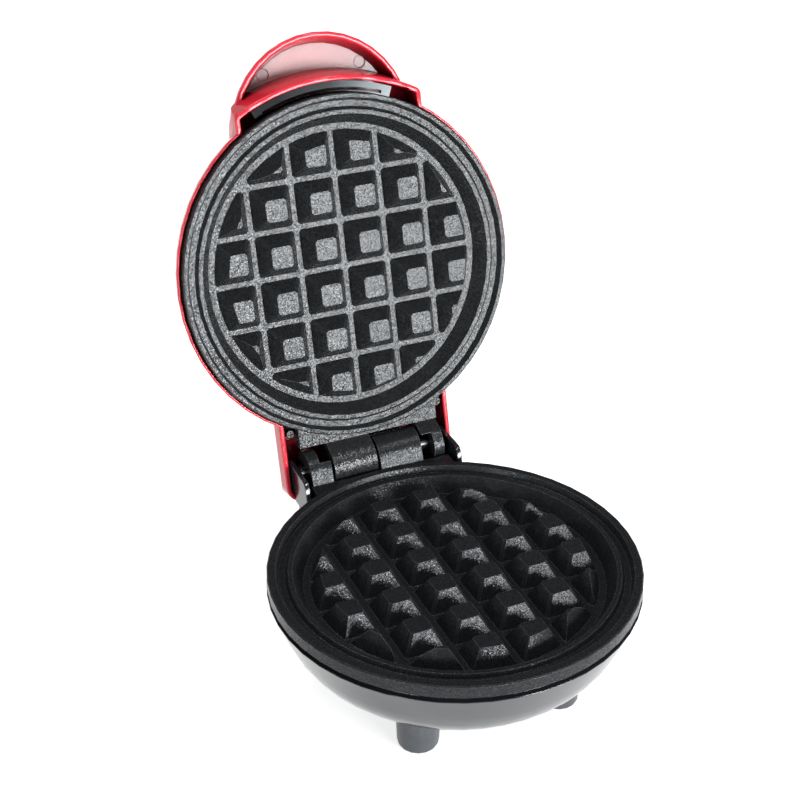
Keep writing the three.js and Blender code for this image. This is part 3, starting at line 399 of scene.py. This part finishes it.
# Shading
def smoothing_group():
    """Smooths the edges whose faces meet at less than the angle it is given."""
    group = bpy.data.node_groups.new("smooth_by_angle", "GeometryNodeTree")
    group.is_modifier = True
    face = group.interface
    face.new_socket("Geometry", in_out="INPUT", socket_type="NodeSocketGeometry")
    face.new_socket("Angle", in_out="INPUT", socket_type="NodeSocketFloat")
    face.new_socket("Geometry", in_out="OUTPUT", socket_type="NodeSocketGeometry")
    into = group.nodes.new("NodeGroupInput")
    out = group.nodes.new("NodeGroupOutput")
    weld = group.nodes.new("GeometryNodeMergeByDistance")
    weld.inputs["Distance"].default_value = WELD
    faces = group.nodes.new("GeometryNodeSetShadeSmooth")
    faces.domain = "FACE"
    crease = group.nodes.new("GeometryNodeSetShadeSmooth")
    crease.domain = "EDGE"
    angle = group.nodes.new("GeometryNodeInputMeshEdgeAngle")
    below = group.nodes.new("FunctionNodeCompare")
    below.data_type = "FLOAT"
    below.operation = "LESS_THAN"
    links = group.links
    links.new(into.outputs["Geometry"], weld.inputs["Geometry"])
    links.new(weld.outputs["Geometry"], faces.inputs["Geometry"])
    links.new(faces.outputs["Geometry"], crease.inputs["Geometry"])
    links.new(angle.outputs["Unsigned Angle"], below.inputs[0])
    links.new(into.outputs["Angle"], below.inputs[1])
    links.new(below.outputs["Result"], crease.inputs["Shade Smooth"])
    links.new(crease.outputs["Geometry"], out.inputs["Geometry"])
    return group


SMOOTH = smoothing_group()


def smooth(o):
    made = o.modifiers.new("smooth", "NODES")
    made.node_group = SMOOTH
    made["Socket_1"] = SMOOTH_BELOW
    weighted = o.modifiers.new("weighted", "WEIGHTED_NORMAL")
    weighted.keep_sharp = True
    weighted.weight = 60


# Pieces
def dress_nodes():
    for name, o in nodes.items():
        o.data.materials.clear()
        o.data.materials.append(OWN_PAINT.get(name, SLOT_PAINT[slots[name]]))
        if "custom_normal" in o.data.attributes:
            o.data.attributes.remove(o.data.attributes["custom_normal"])
        smooth(o)


def rounded_copy(name, width, segments, chosen):
    """A copy of a CAD node whose chosen convex edges are rounded, to stand in its place."""
    mesh = bpy.data.meshes.new(name + "_rounded")
    made = bmesh.new()
    made.from_mesh(nodes[name].data)
    bmesh.ops.remove_doubles(made, verts=made.verts, dist=WELD)
    bmesh.ops.dissolve_degenerate(made, edges=made.edges, dist=SHORTEST_EDGE)
    edges = [
        e
        for e in made.edges
        if e.is_manifold and e.calc_face_angle_signed(0) > ROUND_ABOVE and chosen(e)
    ]
    bmesh.ops.bevel(
        made,
        geom=edges,
        offset=width,
        offset_type="OFFSET",
        segments=segments,
        profile=0.5,
        affect="EDGES",
        clamp_overlap=False,
        loop_slide=False,
    )
    made.to_mesh(mesh)
    made.free()
    for attribute in ("custom_normal", "sharp_face", "sharp_edge"):
        if attribute in mesh.attributes:
            mesh.attributes.remove(mesh.attributes[attribute])
    o = bpy.data.objects.new(name + "_rounded", mesh)
    scene.collection.objects.link(o)
    mesh.materials.append(SLOT_PAINT[slots[name]])
    smooth(o)
    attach(o, nodes[name]["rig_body"])
    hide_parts(name)


def rise(point):
    """How far a point of the lid is from the hinge, along the lid's own upward direction."""
    return (point - HINGE).dot(Vector(LID_UP))


def on_lid_rim(e):
    return any(all(abs(rise(v.co) - level) < RIM_SLACK for v in e.verts) for level in LID_RIMS)


# Camera, floor and light
def add_camera():
    data = bpy.data.cameras.new("camera")
    data.sensor_width = CAMERA_SENSOR
    data.lens = CAMERA_SENSOR * CAMERA_FOCAL_PX / IMAGE_PX
    data.clip_start = 0.01
    data.clip_end = 20
    o = bpy.data.objects.new("camera", data)
    axes = Matrix((CAMERA_RIGHT, CAMERA_UP, CAMERA_RIGHT.cross(CAMERA_UP))).transposed()
    o.matrix_world = Matrix.Translation(CAMERA_PLACE) @ axes.to_4x4()
    scene.collection.objects.link(o)
    scene.camera = o


def world_light():
    """White to the eye. A gloss sees the studio's white walls up to a height, and a dim ceiling above."""
    world = bpy.data.worlds.new("studio")
    scene.world = world
    world.use_nodes = True
    tree = world.node_tree
    tree.nodes.clear()
    out = tree.nodes.new("ShaderNodeOutputWorld")
    white = tree.nodes.new("ShaderNodeBackground")
    white.inputs["Color"].default_value = (1, 1, 1, 1)
    white.inputs["Strength"].default_value = 1
    soft = tree.nodes.new("ShaderNodeBackground")
    soft.inputs["Color"].default_value = (0.96, 0.98, 1, 1)
    soft.inputs["Strength"].default_value = SOFT_GLOW
    walls = tree.nodes.new("ShaderNodeBackground")
    place = tree.nodes.new("ShaderNodeTexCoord")
    split = tree.nodes.new("ShaderNodeSeparateXYZ")
    height = tree.nodes.new("ShaderNodeMapRange")
    height.interpolation_type = "SMOOTHSTEP"
    height.inputs["From Min"].default_value = WALLS_END[0]
    height.inputs["From Max"].default_value = WALLS_END[1]
    height.inputs["To Min"].default_value = WALL_GLOW
    height.inputs["To Max"].default_value = CEILING_GLOW
    ray = tree.nodes.new("ShaderNodeLightPath")
    seen = tree.nodes.new("ShaderNodeMath")
    seen.operation = "MAXIMUM"
    gloss = tree.nodes.new("ShaderNodeMixShader")
    mix = tree.nodes.new("ShaderNodeMixShader")
    links = tree.links
    links.new(place.outputs["Generated"], split.inputs[0])
    links.new(split.outputs["Z"], height.inputs["Value"])
    links.new(height.outputs["Result"], walls.inputs["Strength"])
    links.new(ray.outputs["Is Camera Ray"], seen.inputs[0])
    links.new(ray.outputs["Is Transmission Ray"], seen.inputs[1])
    links.new(ray.outputs["Is Glossy Ray"], gloss.inputs[0])
    links.new(soft.outputs[0], gloss.inputs[1])
    links.new(walls.outputs[0], gloss.inputs[2])
    links.new(seen.outputs[0], mix.inputs[0])
    links.new(gloss.outputs[0], mix.inputs[1])
    links.new(white.outputs[0], mix.inputs[2])
    links.new(mix.outputs[0], out.inputs["Surface"])


def floor():
    """White floor that glows a little to the eye and in a gloss, and keeps the object's shadow."""
    mesh = bpy.data.meshes.new("floor")
    made = bmesh.new()
    bmesh.ops.create_grid(made, x_segments=1, y_segments=1, size=FLOOR_HALF_SIZE)
    made.to_mesh(mesh)
    made.free()
    o = bpy.data.objects.new("floor", mesh)
    scene.collection.objects.link(o)
    p = Paint("floor_white", (0.93, 0.93, 0.93), 0.6)
    p.colour(p.ramp(p.noise(0.4, 2), (0.3, 0.92), (0.7, 0.94)))
    ray = p.node("ShaderNodeLightPath").outputs
    glow = p.node("ShaderNodeEmission")
    glow.inputs["Strength"].default_value = FLOOR_GLOW
    add = p.node("ShaderNodeAddShader")
    mix = p.node("ShaderNodeMixShader")
    p.link(p.number("MAXIMUM", ray["Is Camera Ray"], ray["Is Glossy Ray"]), mix.inputs[0])
    p.link(p.shader.outputs[0], mix.inputs[1])
    p.link(p.shader.outputs[0], add.inputs[0])
    p.link(glow.outputs[0], add.inputs[1])
    p.link(add.outputs[0], mix.inputs[2])
    p.link(mix.outputs[0], p.tree.nodes["Material Output"].inputs["Surface"])
    mesh.materials.append(p.material)


def softbox(name, place, aim, width, height, power, colour=(1, 1, 1)):
    data = bpy.data.lights.new(name, "AREA")
    data.shape = "RECTANGLE"
    data.size = width
    data.size_y = height
    data.energy = power
    data.color = colour
    o = bpy.data.objects.new(name, data)
    o.location = place
    o.rotation_euler = (Vector(aim) - Vector(place)).to_track_quat("-Z", "Y").to_euler()
    o.visible_camera = False
    scene.collection.objects.link(o)


add_camera()
dress_nodes()
rounded_copy("lid_shell", RIM_ROUNDING, RIM_SEGMENTS, on_lid_rim)
world_light()
floor()
softbox("key", (0.34, -0.90, 0.17), (0, 0.03, 0.11), 0.5, 0.28, 11.5, (0.955, 0.985, 1))
softbox("left", (-0.95, -0.75, 0.22), (0, 0.03, 0.12), 0.22, 0.42, 3.5)
softbox("top", (-0.2, 0.5, 1.3), (0, 0, 0.1), 0.4, 0.4, 4)
softbox("glint", (0.32, -0.40, 0.95), (0, 0.03, 0.1), 0.12, 0.12, 2.2)
